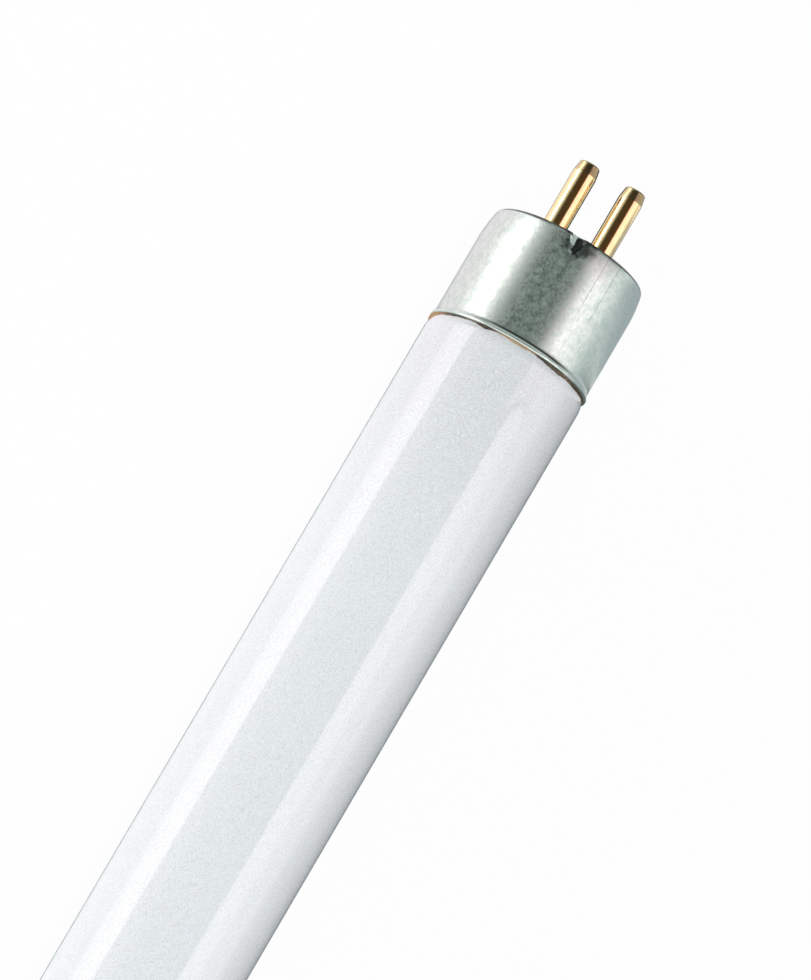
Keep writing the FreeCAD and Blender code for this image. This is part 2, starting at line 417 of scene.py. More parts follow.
def glass_half(floor):
    """Half of the glass, ending in the given run across the floor of its well.

    Straight, a double bend into the neck, a half circle as the rim, and a double bend back in."""
    return joined(
        straight((0, TUBE_R), (neck_start, TUBE_R), 12),
        double_bend((neck_start, TUBE_R), (neck_end, NECK_R)),
        straight((neck_end, NECK_R), (rim_start, NECK_R)),
        bend((rim_start, NECK_R - RIM_R), RIM_R, 90, -90),
        double_bend((rim_start, NECK_R - 2 * RIM_R), (rim_start - FUNNEL_LENGTH, WELL_R)),
        straight((rim_start - FUNNEL_LENGTH, WELL_R), (well_floor, WELL_R)),
        floor,
    )


dome = rim_end - PUMP_TUBE_BELOW_RIM - PUMP_TUBE_R
pump_tube = joined(
    straight((well_floor, PUMP_TUBE_R), (dome, PUMP_TUBE_R)),
    bend((dome, 0), PUMP_TUBE_R, 90, 0),
)
right_glass = glass_half(straight((well_floor, WELL_R), (well_floor, 0)))
left_glass = glass_half(pump_tube)[::-1] * np.array([-1.0, 1.0])
glass_grid = spun(joined(left_glass, right_glass), GLASS_COLUMNS)
make_piece("glass", glass_grid, False, "glass_tube", glass_finish)

# %% [markdown]
# ## The aluminium of the caps
# Each cap is drawn from thin sheet and isn't polished. Drawing leaves a fine mottle and a grain along the
# cap, so it reflects the lights in broad soft bands. A picture could be wrapped round the cap, but speckles
# of three sizes have no seam, and the far cap gets its own pattern from them.

# %% Mottle of the drawn aluminium
FLECK = 0.2 * MM
FLECK_SPREAD = 2.7
BLOTCH = 0.6 * MM
BLOTCH_SPREAD = 2.3
DRAW_LINE = 0.16 * MM
DRAW_SPREAD = 0.2
DRAW_STRETCH = (0.03, 1, 1)
BRIGHT_METAL = (0.705, 0.775, 0.738)
DULL_METAL = (0.53, 0.64, 0.592)

cap_finish, cap_shader, place = new_finish("cap_metal")
along, across, up = place.split()
along = along.size()
from_axis = (across.squared() + up.squared()).root()
fleck = place.speckle(FLECK, detail=3.0, rough=0.65)
blotch = place.speckle(BLOTCH)
drawn = place.speckle(DRAW_LINE, detail=1.0, stretch=DRAW_STRETCH)
oxide = 0.5 + fleck.swing(FLECK_SPREAD) + blotch.swing(BLOTCH_SPREAD) + drawn.swing(DRAW_SPREAD)
metal = oxide.between(BRIGHT_METAL, DULL_METAL)
print("mottle of the aluminium made from three speckles")

# %% [markdown]
# ## Marks and painted shade on the caps
# Making and handling leave two fine score lines. The other dark marks are painted shade and a painted dark
# reflection: a dark line in the crease above the lip, a dark edge round the corner of the end, and painted
# shade in and round the punch mark, left off its lit left wall. Each mark is a number from 0 to 1 at every
# place, so the marks can be added up, and one dark colour serves them all.

# %% Lines on the caps
GROOVE_ABOVE_LIP = 0.48 * MM
GROOVE_HALF = 0.17 * MM
GROOVE_LEFT = 4.6 * MM
GROOVE_LEFT_FADE = 3.0 * MM
GROOVE_RIGHT = -7.2 * MM
GROOVE_RIGHT_FADE = 4.0 * MM
SCORES_ACROSS = (-3.34 * MM, -4.6 * MM)
SCORE_HALF = 0.06 * MM
SCORE_LENGTH = 6.0 * MM
SCORE_FADE = 1.0 * MM
EDGE_LINE_BELOW_END = 0.12 * MM
EDGE_LINE_HALF = 0.24 * MM
FLAT_END_R = 6.98 * MM
FLAT_END_FADE = 0.1 * MM
UPPER_FADE = 1.0 * MM

upper_side = up.rise(0, UPPER_FADE)
# painted shade in the crease above the lip, faded out towards the left and the right
crease_shade = along.line_at(lip + GROOVE_ABOVE_LIP, GROOVE_HALF, 0.4)
crease_shade = crease_shade * (1 - across.rise(GROOVE_LEFT - GROOVE_LEFT_FADE, GROOVE_LEFT))
crease_shade = crease_shade * across.rise(GROOVE_RIGHT, GROOVE_RIGHT + GROOVE_RIGHT_FADE)
score_start = cap_end - SCORE_LENGTH
scores = sum(across.line_at(score, SCORE_HALF, 0.3) for score in SCORES_ACROSS)
scores = scores * (along.rise(score_start - SCORE_FADE, score_start) * upper_side)
# painted dark reflection round the corner of the end
edge_dark_reflection = along.line_at(cap_end - EDGE_LINE_BELOW_END, EDGE_LINE_HALF, 0.5)
edge_dark_reflection = edge_dark_reflection * from_axis.rise(FLAT_END_R, FLAT_END_R + FLAT_END_FADE)
print(f"a crease line, {len(SCORES_ACROSS)} score lines and an edge line made")

# %% Painted shade in and round the punch mark
DENT_SHADE_BELOW_END = 0.9 * MM
DENT_SHADE_ACROSS = -0.27 * MM
DENT_SHADE_HALVES = (1.0 * MM, 0.4 * MM)
WIDE_SHADE_ACROSS = -0.42 * MM
WIDE_SHADE_HALVES = (1.8 * MM, 2.0 * MM)
DENT_FLOOR_R = 6.7 * MM
DENT_FLOOR_FADE = 0.4 * MM
DENT_MOUTH_R = 7.55 * MM
DENT_MOUTH_FADE = 0.13 * MM
FACET_RIGHT = 0.04 * MM
FACET_RIGHT_FADE = 0.1 * MM
FACET_LEFT = 0.95 * MM
FACET_LENGTH = 1.05 * MM
FACET_FADE = 0.15 * MM
FACET_UNSHADED = 0.85


def oval(first, second, middle, halves):
    """0 in the middle of an oval and 1 on its edge.

    Each field's distance from the middle over its half, squared, and the two added."""
    return ((first - middle[0]) / halves[0]).squared() + ((second - middle[1]) / halves[1]).squared()


dent_shade_middle = cap_end - DENT_SHADE_BELOW_END
facet_start = cap_end - FACET_LENGTH
uneven = blotch.swing(0.4 * MM) + fleck.swing(0.25 * MM)
# the lit left wall of the punch mark, where the painted shade is left off
facet = 1 - from_axis.rise(DENT_MOUTH_R - DENT_MOUTH_FADE, DENT_MOUTH_R)
facet = facet * (across + uneven).rise(FACET_RIGHT - FACET_RIGHT_FADE, FACET_RIGHT + FACET_RIGHT_FADE)
facet = facet * (along + uneven).rise(facet_start - FACET_FADE, facet_start + FACET_FADE)
facet = facet * (1 - across.rise(FACET_LEFT - FACET_FADE, FACET_LEFT))
# painted shade over the punch mark on the upper cap, except its lit left wall
dent_shade_area = from_axis.rise(DENT_FLOOR_R - DENT_FLOOR_FADE, DENT_FLOOR_R) * upper_side
dent_shade_area = dent_shade_area * (1 - facet * FACET_UNSHADED)
# painted shade in the punch mark and on its right wall
from_dent_shade = oval(along, across, (dent_shade_middle, DENT_SHADE_ACROSS), DENT_SHADE_HALVES)
from_dent_shade = from_dent_shade + blotch.swing(1.0) + fleck.swing(0.8)
dent_shade = (1 - from_dent_shade.rise(0.1, 1.3)) * dent_shade_area
# a wider, softer painted shade round the punch mark, mostly to its right
from_wide_shade = oval(along, across, (dent_shade_middle, WIDE_SHADE_ACROSS), WIDE_SHADE_HALVES) + blotch.swing(1.5)
wide_shade = (1 - from_wide_shade.rise(0.0, 1.0)) * dent_shade_area
print(f"stain and smudge made {DENT_SHADE_BELOW_END / MM:.1f} mm below the end")

# %% Finish of the caps from mottle, scores and painted shade
SCORE_AND_SHADE_DARK = (0.02, 0.025, 0.022)

# the scores are real marks; the crease, punch mark and edge terms are painted shade and a painted dark
# reflection
dark = crease_shade * 0.85 + scores * 0.3 + dent_shade * 0.9 + wide_shade * 0.8 + edge_dark_reflection * 0.9
feed(
    cap_shader,
    Base_Color=dark.between(metal, SCORE_AND_SHADE_DARK),
    Metallic=1 - oxide * 0.26,
    Roughness=0.32 + fleck.swing(0.2) + dent_shade * 0.3,
    Normal=bump(fleck * 0.7 + drawn * 0.3, 0.4, 0.012 * MM),
)

# %% [markdown]
# ## The cap shell
# The cap is a cup with a flared open lip. Its side draws in slightly towards the end, and the corner is
# tight. Two punch marks on the edge, one above and one below, lock the insulating disc inside. A dent could
# be a boolean cut, but here each point that the tapered punch would reach is lowered to the punch's
# surface, which also gives the soft rounded edge of a real dent.

# %% Section of the sheet
SHELL_WALL = 0.3 * MM
SHELL_R = 7.85 * MM
FLARE_R = 1.5 * MM
FLARE_DEG = 30.0
SHOULDER_LENGTH = 3.2 * MM
SHOULDER_DROP = 0.38 * MM
CORNER_R = 0.5 * MM
END_HOLE_R = 4.9 * MM

half_wall = SHELL_WALL / 2
flare_start = lip + FLARE_R * math.sin(math.radians(FLARE_DEG)) + half_wall
flare_centre = (flare_start, SHELL_R - half_wall + FLARE_R)
lip_centre = (lip + half_wall, flare_centre[1] - FLARE_R * math.cos(math.radians(FLARE_DEG)))
shoulder_bend = (SHOULDER_LENGTH**2 + SHOULDER_DROP**2) / (2 * SHOULDER_DROP)
shoulder_start = cap_end - SHOULDER_LENGTH
shoulder_centre = (shoulder_start, SHELL_R - shoulder_bend)
corner_x = cap_end - CORNER_R
corner_reach = math.sqrt((shoulder_bend - CORNER_R) ** 2 - (corner_x - shoulder_start) ** 2)
corner_centre = (corner_x, shoulder_centre[1] + corner_reach)
corner_deg = math.degrees(math.atan2(corner_reach, corner_x - shoulder_start))


def shell_side(depth):
    """One face of the sheet, depth under the outer one: flare, side, shoulder, corner and flat end."""
    end_x = cap_end - depth
    return joined(
        bend(flare_centre, FLARE_R - half_wall + depth, -90 - FLARE_DEG, -90, 14),
        straight((flare_start, SHELL_R - depth), (shoulder_start, SHELL_R - depth), 8),
        bend(shoulder_centre, shoulder_bend - depth, 90, corner_deg, 30),
        bend(corner_centre, CORNER_R - depth, corner_deg, 0, 12),
        straight((end_x, corner_centre[1]), (end_x, END_HOLE_R), 16),
    )


print(f"the shoulder is an arc of {shoulder_bend / MM:.1f} mm radius")

# %% The punch marks
PUNCH_NOSE_R = 0.35 * MM
PUNCH_MOUTH_R = 0.9 * MM
PUNCH_LENGTH = 1.55 * MM
PUNCH_START_DEPTH = 0.3 * MM
PUNCH_TILT = math.radians(10.0)
DENT_ROUNDING = 0.08 * MM
OUT_OF_REACH = 1.0


def dented(grid, depth):
    """Lower the height of each point to the punch's surface where the punch is lower, with a rounded edge.

    The punch is a cone that starts with a round nose. Its surface is its axis height less the root of its
    radius squared less the sideways distance squared. The lesser of two heights is blended over
    DENT_ROUNDING."""
    length, sideways, height = grid[..., 0], grid[..., 1], np.abs(grid[..., 2])
    past = length - (cap_end - PUNCH_LENGTH)
    axis_height = SHELL_R - PUNCH_START_DEPTH + PUNCH_NOSE_R - past * math.tan(PUNCH_TILT)
    cone_r = PUNCH_NOSE_R + past * (PUNCH_MOUTH_R - PUNCH_NOSE_R) / PUNCH_LENGTH
    nose_r = np.sqrt(np.clip(PUNCH_NOSE_R**2 - past**2, 0, None))
    radius = np.where(past > 0, cone_r, nose_r) + depth
    within = np.clip(radius**2 - sideways**2, 0, None)
    reached = (within > 0) & (radius > depth)
    surface = np.where(reached, axis_height - np.sqrt(within), OUT_OF_REACH)
    blend = np.clip(0.5 + 0.5 * (height - surface) / DENT_ROUNDING, 0, 1)
    lowered = height + (surface - height) * blend - DENT_ROUNDING * blend * (1 - blend)
    out = grid.copy()
    out[..., 2] = np.sign(grid[..., 2]) * np.where(reached, lowered, height)
    return out


print(f"punch marks {PUNCH_LENGTH / MM:.2f} mm long")

# %% The cap shells
LIP_TRIM = 0.0006 * MM
SHELL_COLUMNS = 384

outer_face = spun(shell_side(0), SHELL_COLUMNS)
inner_face = spun(shell_side(SHELL_WALL)[::-1], SHELL_COLUMNS)
lip_round = bend(lip_centre, half_wall - LIP_TRIM, 270 - FLARE_DEG, 90 - FLARE_DEG, 14)
lip_edge = spun(lip_round[1:-1], SHELL_COLUMNS)
shell_grid = np.concatenate([dented(outer_face, 0), dented(inner_face, SHELL_WALL), lip_edge])
for end, side in ENDS.items():
    make_piece(f"{end}_cap", at_end(shell_grid, side), True, f"{end}_cap_shell", cap_finish)

# %% [markdown]
# ## The cement
# The cap is baked on with a brown cement. A little of it squeezes out under the lip, thick in one place and
# almost nothing in the next. The bead is a curve from the glass up to the lip, and how far it reaches below
# the lip is a smooth uneven function of the angle. It could be sculpted, but a list of lumps is easier to
# change.

# %% Finish of the cement
CRUMB = 0.12 * MM
PATCH = 1.6 * MM
LIT_TOP_HALF = 2.4 * MM
BLOB_FROM = 6.6 * MM
BLOB_FADE = 1.0 * MM
DARK_CEMENT_AND_SHADE = (0.028, 0.02, 0.013)
PALE_CEMENT = (0.62, 0.44, 0.26)
ORANGE_CEMENT = (0.62, 0.34, 0.13)

cement_finish, cement_shader, place = new_finish("cap_cement")
_, across, _ = place.split()
crumb = place.speckle(CRUMB, detail=3.0, rough=0.6)
patch = place.speckle(PATCH)
# painted light and shade: the cement is lighter along the top and bottom of the ring and darker towards its
# sides, as shade under the lip
lit_top = across.line_at(0, LIT_TOP_HALF, 0.6)
blob = across.rise(BLOB_FROM, BLOB_FROM + BLOB_FADE)
cement_tone_and_shade = 0.09 + lit_top * 0.47 + blob * 0.5 + crumb.swing(0.8) + patch.swing(0.5)
feed(
    cement_shader,
    Base_Color=cement_tone_and_shade.between(DARK_CEMENT_AND_SHADE, blob.between(PALE_CEMENT, ORANGE_CEMENT)),
    Roughness=0.6 + crumb.swing(0.5),
    Normal=bump(crumb, 0.6, 0.03 * MM),
)

# %% How far the bead reaches
BEAD_LEAST = 0.05 * MM
BEAD_RIPPLE = 0.012 * MM
BEAD_LUMPS_DEG = {
    4.0: (0.58, 10.0),
    30.0: (0.16, 17.0),
    66.0: (0.24, 7.0),
    90.0: (0.2, 10.0),
    122.0: (0.3, 15.0),
    150.0: (0.25, 14.0),
    175.0: (0.15, 12.0),
    230.0: (0.2, 20.0),
    300.0: (0.28, 30.0),
}


def squeezed_out(angle):
    """How far the bead reaches below the lip: a least amount, round lumps at chosen angles and a ripple.

    A lump's angle comes with its height in mm and its half width in degrees."""
    reach = np.full_like(angle, BEAD_LEAST)
    for centre, (height, width) in BEAD_LUMPS_DEG.items():
        away = (np.degrees(angle) - centre + 180) % 360 - 180
        reach += height * MM * np.exp(-((away / width) ** 2))
    ripple = np.sin(23 * angle + 1) + np.sin(37 * angle + 2) + np.sin(61 * angle)
    return reach + BEAD_RIPPLE * ripple


def tube_radius(length):
    """Radius of the glass where the neck begins: the tube's radius less the sag of the first arc."""
    drop = TUBE_R - NECK_R
    radius = (NECK_LENGTH**2 + drop**2) / (4 * drop)
    past = np.clip(length - neck_start, 0, NECK_LENGTH / 2)
    return TUBE_R - (radius - np.sqrt(radius**2 - past**2))


print(f"the bead has {len(BEAD_LUMPS_DEG)} lumps")

# %% The cement rings
CEMENT_COLUMNS = 360
BEAD_ROWS = 10
BEAD_PULL = 0.35
BEAD_SWELL = 0.1 * MM
BEAD_MOST_R = 8.17 * MM
CEMENT_BELOW_RIM = 1.3 * MM


def cement_grid():
    """Rows from the glass over the bead to the lip, then back inside.

    The bead is a curve with one pull point: foot, pull and top weighted by the share's squares."""
    angle = np.linspace(0, 2 * np.pi, CEMENT_COLUMNS, endpoint=False)
    reach = squeezed_out(angle)
    foot = lip - reach
    foot_r = tube_radius(foot)
    top = lip + half_wall
    top_r = lip_centre[1]
    pull = lip - reach * BEAD_PULL
    pull_r = np.minimum(foot_r + BEAD_SWELL + BEAD_PULL * reach, BEAD_MOST_R)
    share = np.linspace(0, 1, BEAD_ROWS)[:, None]
    length = (1 - share) ** 2 * foot + 2 * share * (1 - share) * pull + share**2 * top
    radius = (1 - share) ** 2 * foot_r + 2 * share * (1 - share) * pull_r + share**2 * top_r
    inside = [
        (flare_start, SHELL_R - SHELL_WALL),
        (rim_end - CEMENT_BELOW_RIM, SHELL_R - SHELL_WALL),
        (rim_end - CEMENT_BELOW_RIM, NECK_R),
        (neck_end, NECK_R),
    ]
    inside_length = [np.full_like(angle, point[0]) for point in inside]
    inside_radius = [np.full_like(angle, point[1]) for point in inside]
    length = np.concatenate([length, inside_length])
    radius = np.concatenate([radius, inside_radius])
    return np.stack([length, radius * np.cos(angle), radius * np.sin(angle)], axis=2)


for end, side in ENDS.items():
    ring = at_end(cement_grid(), side)
    make_piece(f"{end}_cement", ring, True, f"{end}_cement_ring", cement_finish)

# %% [markdown]
# ## The insulating disc
# The pins have to be kept off the metal cap, so they stand in a moulded disc. It is pressed from brown
# resin: the face is slightly satin, with a faint cloudiness. Its rim has two notches for the dents in the
# cap, made by the same function as the dents, one sheet deeper, so that they are sure to fit.

# %% Finish and shape of the insulating discs
RESIN_CLOUD = 0.5 * MM
DARK_RESIN = (0.012, 0.009, 0.007)
LIGHT_RESIN = (0.045, 0.033, 0.025)

disc_finish, disc_shader, place = new_finish("cap_insulator")
resin = place.speckle(RESIN_CLOUD, detail=4.0, rough=0.6)
feed(
    disc_shader,
    Base_Color=resin.between(DARK_RESIN, LIGHT_RESIN),
    Roughness=0.38 + resin.swing(0.3),
    Normal=bump(resin, 0.3, 0.015 * MM),
)

BOSS_R = 4.8 * MM
BOSS_EDGE_R = 0.2 * MM
DISC_CLEARANCE = 0.05 * MM
NOTCH_CLEARANCE = 0.05 * MM
DISC_COLUMNS = 256
disc_r = corner_centre[1] - DISC_CLEARANCE
shelf = cap_end - SHELL_WALL
disc_section = joined(
    straight((disc_face, 0), (disc_face, BOSS_R - BOSS_EDGE_R), 12),
    bend((disc_face - BOSS_EDGE_R, BOSS_R - BOSS_EDGE_R), BOSS_EDGE_R, 0, 90),
    straight((shelf, BOSS_R), (shelf, disc_r)),
    straight((disc_inside, disc_r), (disc_inside, 0)),
)
disc_grid = dented(spun(disc_section, DISC_COLUMNS), SHELL_WALL + NOTCH_CLEARANCE)
for end, side in ENDS.items():
    disc = at_end(disc_grid, side)
    make_piece(f"{end}_disc", disc, False, f"{end}_insulating_disc", disc_finish)

# %% [markdown]
# ## The pins and their wires
# Each pin is a hollow brass rivet with a tapered tip. The lamp's own lead wire runs up inside it and is
# pinched and soldered at the tip. Polished brass is mostly what it reflects, so its finish is little more
# than a warm metal with faint turning rings. Light and shade are painted into its colour as well: a painted
# highlight makes its flanks pale, painted shade keeps the strip along its middle redder, and painted shade
# dulls the taper, less on its left side.

# %% Finish of the brass
PIN_R = 1.15 * MM
PIN_SPACING = 4.75 * MM
TIP_LENGTH = 1.1 * MM
TARNISH = 0.9 * MM
RING = 0.07 * MM
RING_STRETCH = (1, 0.05, 0.05)
STREAK = 0.2 * MM
STREAK_STRETCH = (0.25, 1, 1)
SHADED_RED_BRASS = (0.98, 0.35, 0.13)
HIGHLIGHT_BRASS = (0.98, 0.835, 0.47)
TAPER_SHADE_BRASS = (0.28, 0.22, 0.12)

pin_finish, pin_shader, place = new_finish("pin_metal", Metallic=1.0)
along, across, _ = place.split()
along = along.size()
off_axis = across - across.sign() * (PIN_SPACING / 2)
# painted highlight on the flanks of each pin; the strip along its middle keeps the redder painted shade
flank_highlight = off_axis.size().rise(PIN_R * 0.17, PIN_R * 0.33)
left_side = off_axis.rise(PIN_R * -0.15, PIN_R * 0.15)
taper_start = pin_tip - TIP_LENGTH
on_taper = along.rise(taper_start - 0.03 * MM, taper_start + 0.05 * MM)
on_face = along.rise(pin_tip - 0.35 * MM, pin_tip - 0.1 * MM)
tarnish = place.speckle(TARNISH, detail=3.0)
rings = place.speckle(RING, detail=1.0, stretch=RING_STRETCH)
streak = place.speckle(STREAK, stretch=STREAK_STRETCH)
highlight_and_wear = flank_highlight * 0.9 + on_face * 0.8 + streak.swing(0.6) + tarnish.swing(0.4)
# painted shade on the taper, lighter on the left side of each pin
taper_shade = on_taper * (0.85 - left_side * 0.35)
feed(
    pin_shader,
    Base_Color=taper_shade.between(highlight_and_wear.between(SHADED_RED_BRASS, HIGHLIGHT_BRASS), TAPER_SHADE_BRASS),
    Roughness=0.16 + tarnish.swing(0.12) + on_taper * 0.06,
    Normal=bump(rings, 0.12, 0.006 * MM),
)

# %% Finish of the lead wires
LEAD_SPOT = 0.1 * MM
DARK_LEAD = (0.42, 0.4, 0.37)
LIGHT_LEAD = (0.66, 0.64, 0.6)

lead_finish, lead_shader, place = new_finish("lead_metal", Metallic=1.0)
dull = place.speckle(LEAD_SPOT)
feed(lead_shader, Base_Color=dull.between(DARK_LEAD, LIGHT_LEAD), Roughness=0.35 + dull.swing(0.3))

# %% The pins and lead wires
SHANK_R = 0.95 * MM
BORE_R = 0.55 * MM
HEAD_R = 1.45 * MM
HEAD_THICKNESS = 0.45 * MM
HEAD_CHAMFER = 0.15 * MM
TIP_R = 1.0 * MM
TIP_EDGE_R = 0.18 * MM
LEAD_R = 0.25 * MM
LEAD_SEAL_DEPTH = 2.5 * MM
CRIMP_LENGTH = 1.5 * MM
CRIMP_CONE = 0.8 * MM
PIN_COLUMNS = 96
LEAD_COLUMNS = 24
ROWS = {"front": -0.5, "rear": 0.5}

head_end = disc_inside - HEAD_THICKNESS
tip_edge = pin_tip - TIP_EDGE_R
crimp = pin_tip - CRIMP_LENGTH
pin_section = joined(
    straight((pin_tip, LEAD_R), (crimp, LEAD_R)),
    straight((crimp - CRIMP_CONE, BORE_R), (head_end, BORE_R)),
    straight((head_end, HEAD_R - HEAD_CHAMFER), (head_end + HEAD_CHAMFER, HEAD_R)),
    straight((disc_inside, HEAD_R), (disc_inside, SHANK_R)),
    straight((disc_face, SHANK_R), (disc_face, PIN_R)),
    straight((taper_start, PIN_R), (tip_edge, TIP_R), 6),
    bend((tip_edge, TIP_R - TIP_EDGE_R), TIP_EDGE_R, 90, 0, 8),
)
lead_start = well_floor - LEAD_SEAL_DEPTH
lead_section = joined(
    straight((lead_start, 0), (lead_start, LEAD_R)),
    straight((pin_tip, LEAD_R), (pin_tip, 0)),
)
pin_grid = spun(pin_section, PIN_COLUMNS)
lead_grid = spun(lead_section, LEAD_COLUMNS)
for end, side in ENDS.items():
    for row, share in ROWS.items():
        beside = np.array([0, share * PIN_SPACING, 0])
        pin_place = at_end(pin_grid, side) + beside
        lead_place = at_end(lead_grid, side) + beside
        make_piece(f"{end}_{row}_contact", pin_place, True, f"{end}_{row}_pin", pin_finish)
        make_piece(f"{end}_{row}_wire", lead_place, False, f"{end}_{row}_lead", lead_finish)

# %% [markdown]
# ## The table
# The lamp lies on a plain white table that the picture shows as pure white. The camera and mirrors see the
# table as glowing white, with a trace of the lamp's shadow left in it, and all other light meets an
# ordinary white surface. A brighter lamp over the table would whiten it too, but it would also burn out the
# white of the glass.

# %% The table
FLOOR_REACH = 8.0
FLOOR_WHITE = 0.9
FLOOR_ROUGHNESS = 0.9
SHADOW_SHARE = 0.02

floor_z = cad_box[0][2]
floor_mesh = bpy.data.meshes.new("table")
floor_square = np.array([[-1, -1, 0], [1, -1, 0], [1, 1, 0], [-1, 1, 0]])
floor_mesh.from_pydata(floor_square * FLOOR_REACH + [0, 0, floor_z], [], [[0, 1, 2, 3]])
floor = bpy.data.objects.new("table", floor_mesh)
bpy.context.scene.collection.objects.link(floor)

floor_finish, floor_shader, place = new_finish(
    "table_white", Base_Color=(FLOOR_WHITE, FLOOR_WHITE, FLOOR_WHITE, 1), Roughness=FLOOR_ROUGHNESS
)
camera_ray = place.node("ShaderNodeLightPath", output="Is Camera Ray")
glossy_ray = place.node("ShaderNodeLightPath", output="Is Glossy Ray")
through_ray = place.node("ShaderNodeLightPath", output="Is Transmission Ray")
seen = place.math("MINIMUM", camera_ray + glossy_ray + through_ray, 1.0)
plain = Field(place.tree, floor_shader.outputs[0])
glowing = place.node("ShaderNodeEmission", {}, {"Color": (1, 1, 1, 1), "Strength": 1.0})
surface = place.node("ShaderNodeMixShader", {}, {0: seen * (1 - SHADOW_SHARE), 1: plain, 2: glowing})
place.tree.links.new(surface.socket, place.tree.nodes["Material Output"].inputs["Surface"])
floor_mesh.materials.append(floor_finish)
print(f"table at {floor_z / MM:.2f} mm")

# %% [markdown]
# ## Cards
# Shiny things show what lies beside them, so a photographer lays cards next to the object to shape its
# reflections. A grey card darkens the right side of the glass, a lighter one the right side of the cap, and
# both reach a little past the left edge to draw its outline. A warm card brightens the left of the cap, and
# a small black one lies beyond the pins. White table is left open between the two long cards, for the
# brighter right side of the cap at its lip. A last black card is felt only by diffuse light: it keeps the
# table from lighting the lamp from below. The camera sees none of the cards, and they cast no shadow.

# %% Cards in the shade of the lamp
CARD_RISE = 0.02 * MM
CARD_ROUGHNESS = 0.9


def card(name, corners, rise, colour, glow=0.0, in_shine=True, in_shade=False):
    """A flat card on the table, given by its corners, never seen directly or casting a shadow."""
    mesh = bpy.data.meshes.new(name)
    mesh.from_pydata([(*corner, floor_z + rise) for corner in corners], [], [tuple(range(len(corners)))])
    paint = (0, 0, 0, 1) if glow else (*colour, 1)
    finish, _, _ = new_finish(
        name,
        Base_Color=paint,
        Roughness=CARD_ROUGHNESS,
        Emission_Color=(*colour, 1),
        Emission_Strength=glow,
    )
    mesh.materials.append(finish)
    piece = bpy.data.objects.new(name, mesh)
    piece.visible_camera = False
    piece.visible_shadow = False
    piece.visible_glossy = in_shine
    piece.visible_diffuse = in_shade
    bpy.context.scene.collection.objects.link(piece)
    print(f"{name}: {len(corners)} corners")


def oblong(low_x, low_y, high_x, high_y):
    """The four corners of an upright oblong."""
    return [(low_x, low_y), (high_x, low_y), (high_x, high_y), (low_x, high_y)]


def placed(start, *corners_mm):
    """Corners in metres from pairs in mm: past a start along the lamp, and to the left of its axis."""
    return [(start + along_mm * MM, left_mm * MM) for along_mm, left_mm in corners_mm]


print(f"cards lie {CARD_RISE / MM:.2f} mm above the table")

# %% Lay the cards
CARD_NEAR = -0.6
CARD_RIGHT = -0.5
CARD_LEFT = 9.5 * MM
GLASS_CARD_LEFT = 10.8 * MM
CAP_CARD_LEFT = 11.8 * MM
END_CARD_LEFT = 8.0 * MM
END_CARD_RIGHT = -9.0 * MM
TABLE_LEFT = 0.5
GREY = (0.26, 0.47, 0.51)
LIGHT_GREY = (0.415, 0.455, 0.495)
WARM_WHITE = (1.09, 0.965, 1.015)
BLACK = (0.05, 0.05, 0.05)
WARM_BLACK = (0.05, 0.05, 0.045)

glass_card_end = lip + 2.0 * MM
cap_card_start = glass_card_end + 0.1 * MM
card_end = cap_end + 3.0 * MM
table_end = cap_end + 50.0 * MM
beside_glass = [(CARD_NEAR, CARD_RIGHT), (glass_card_end + 114 * MM, CARD_RIGHT)]
beside_glass += [(glass_card_end, -4.3 * MM), (glass_card_end, GLASS_CARD_LEFT), (CARD_NEAR, GLASS_CARD_LEFT)]
beside_cap = placed(glass_card_end, (0.1, -4.3), (5, -18), (12, -36), (23, -72))
beside_cap += [(cap_end + 108 * MM, CARD_RIGHT), (cap_end + 140 * MM, CARD_RIGHT)]
beside_cap += placed(cap_end, (28, -60), (8, -12))
beside_cap += [(card_end, END_CARD_RIGHT), (card_end, CAP_CARD_LEFT), (cap_card_start, CAP_CARD_LEFT)]
left_of_cap = oblong(cap_card_start, CAP_CARD_LEFT, table_end, TABLE_LEFT)
under_lamp = oblong(CARD_NEAR, CARD_RIGHT, card_end, CARD_LEFT)
past_pins = oblong(card_end, END_CARD_RIGHT, table_end, END_CARD_LEFT)
card("grey_card", beside_glass, CARD_RISE, GREY)
card("cap_card", beside_cap, CARD_RISE, LIGHT_GREY, glow=1.0)
card("warm_card", left_of_cap, CARD_RISE, WARM_WHITE, glow=1.0)
card("black_card", under_lamp, CARD_RISE, BLACK, in_shine=False, in_shade=True)
card("end_card", past_pins, CARD_RISE * 3, WARM_BLACK, in_shade=True)

# %% [markdown]
# ## Lights
# Long soft lights stand to the left and right of the lamp, with a darker gap overhead where the camera is.
# That gap is the cool grey band down the middle of the glass and the dark band on the cap and pins. The
# angles of the lights are read from where those bands end, and each side is split where its band changes in
# brightness. A broad light overhead, kept out of reflections, fills the white of the glass. A light in
# front brightens the lip, and two dim walls beyond the ends give the end faces something to show from other
# sides.

# %% Flat lights
PLAIN = (1.0, 1.0, 1.0)


def area_light(name, place, lengthways, outward, length, width, radiance, colour):
    """A flat light facing against outward. Its power is its radiance times pi times its area."""
    light = bpy.data.lights.new(name, "AREA")
    light.shape = "RECTANGLE"
    light.color = colour
    light.size = length
    light.size_y = width
    light.energy = radiance * math.pi * length * width
    lamp = bpy.data.objects.new(name, light)
    turn = Matrix((lengthways, outward.cross(lengthways), outward)).transposed()
    lamp.matrix_world = Matrix.Translation(place) @ turn.to_4x4()
    lamp.visible_camera = False
    bpy.context.scene.collection.objects.link(lamp)
    print(f"{name}: {length:.2f} by {width:.2f} m, {light.energy:.1f} W")
    return lamp


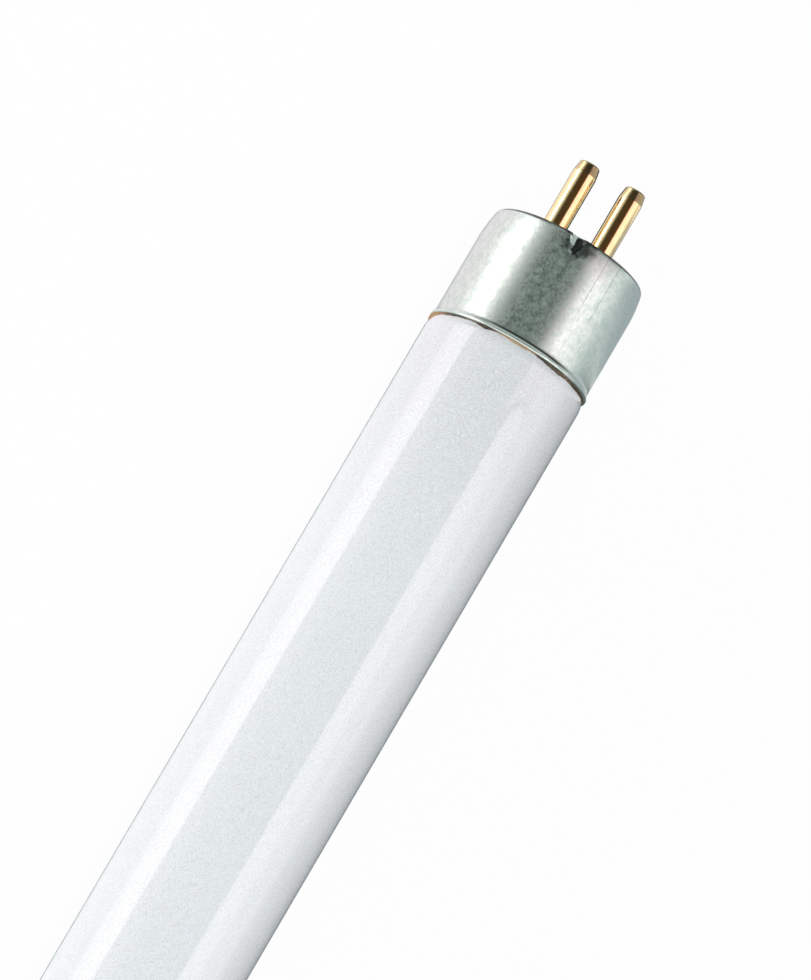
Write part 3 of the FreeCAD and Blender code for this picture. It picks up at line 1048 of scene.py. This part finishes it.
def strip_light(name, from_deg, to_deg, ends, distance, radiance, colour):
    """A long light beside the lamp, between two angles from straight up. Positive angles lie to the right.

    Each edge lies at distance times sine of its angle to the right and distance times its cosine up."""
    near_end, far_end = ends
    angle = np.radians([from_deg, to_deg])
    one_edge, other_edge = (
        Vector(((near_end + far_end) / 2, -math.sin(turned) * distance, math.cos(turned) * distance))
        for turned in angle
    )
    lengthways = Vector((1, 0, 0))
    across = other_edge - one_edge
    outward = across.cross(lengthways).normalized()
    place = (one_edge + other_edge) / 2
    length = far_end - near_end
    return area_light(name, place, lengthways, outward, length, across.length, radiance, colour)


def end_light(name, side, height_deg, distance, width, height, radiance):
    """An upright light beyond one end of the lamp, raised by an angle from the table and facing the lamp."""
    raised = math.radians(height_deg)
    outward = Vector((side * math.cos(raised), 0, math.sin(raised)))
    place = mark + outward * distance
    return area_light(name, place, Vector((0, 1, 0)), outward, width, height, radiance, PLAIN)


print("light tools ready")

# %% The lights
WARM = (1.05, 0.975, 0.975)
ROSE = (1.08, 0.97, 0.975)
ROSY = (1.28, 0.935, 1.03)
COOL = (0.94, 1.0, 1.0)
LEFT_ENDS = (-0.5, 0.64)
RIGHT_ENDS = (-0.75, 0.3)
RIGHT_CAP_ENDS = (0.3, 0.57)
LOW_ENDS = (-0.75, 0.55)
STRIP_DISTANCE = 0.7
FILL_DISTANCE = 0.9
STRIPS = {
    "left_light": (-78, -59, LEFT_ENDS, STRIP_DISTANCE, 2.65, ROSE),
    "left_light_low": (-90, -78, LEFT_ENDS, STRIP_DISTANCE, 2.05, ROSE),
    "left_light_edge": (-59, -39, LEFT_ENDS, STRIP_DISTANCE, 0.45, WARM),
    "right_light": (38, 62, RIGHT_ENDS, STRIP_DISTANCE, 2.0, WARM),
    "right_light_end": (31, 64, RIGHT_CAP_ENDS, STRIP_DISTANCE, 1.09, ROSY),
    "right_light_low": (62, 89, LOW_ENDS, STRIP_DISTANCE, 1.1, WARM),
    "top_fill": (-38, 36, LEFT_ENDS, FILL_DISTANCE, 0.65, COOL),
}
WALL_DISTANCE = 2.0
WALL_WIDTH = 2.4
WALL_RADIANCE = 0.85
DIM_ROOM = (0.066, 0.096, 0.08)

strips = {name: strip_light(name, *settings) for name, settings in STRIPS.items()}
strips["top_fill"].visible_glossy = False
end_light("front_light", -1, 32, 0.9, 1.0, 0.6, 2.0)
near_wall = end_light("near_wall", -1, 7, WALL_DISTANCE, WALL_WIDTH, 0.6, WALL_RADIANCE)
far_wall = end_light("far_wall", 1, 15, WALL_DISTANCE, WALL_WIDTH, 1.0, WALL_RADIANCE)
near_wall.visible_diffuse = False
far_wall.visible_diffuse = False

world = bpy.data.worlds.new("dim_room")
world.use_nodes = True
world.node_tree.nodes["Background"].inputs["Color"].default_value = (*DIM_ROOM, 1)
world.node_tree.nodes["Background"].inputs["Strength"].default_value = 1.0
bpy.context.scene.world = world
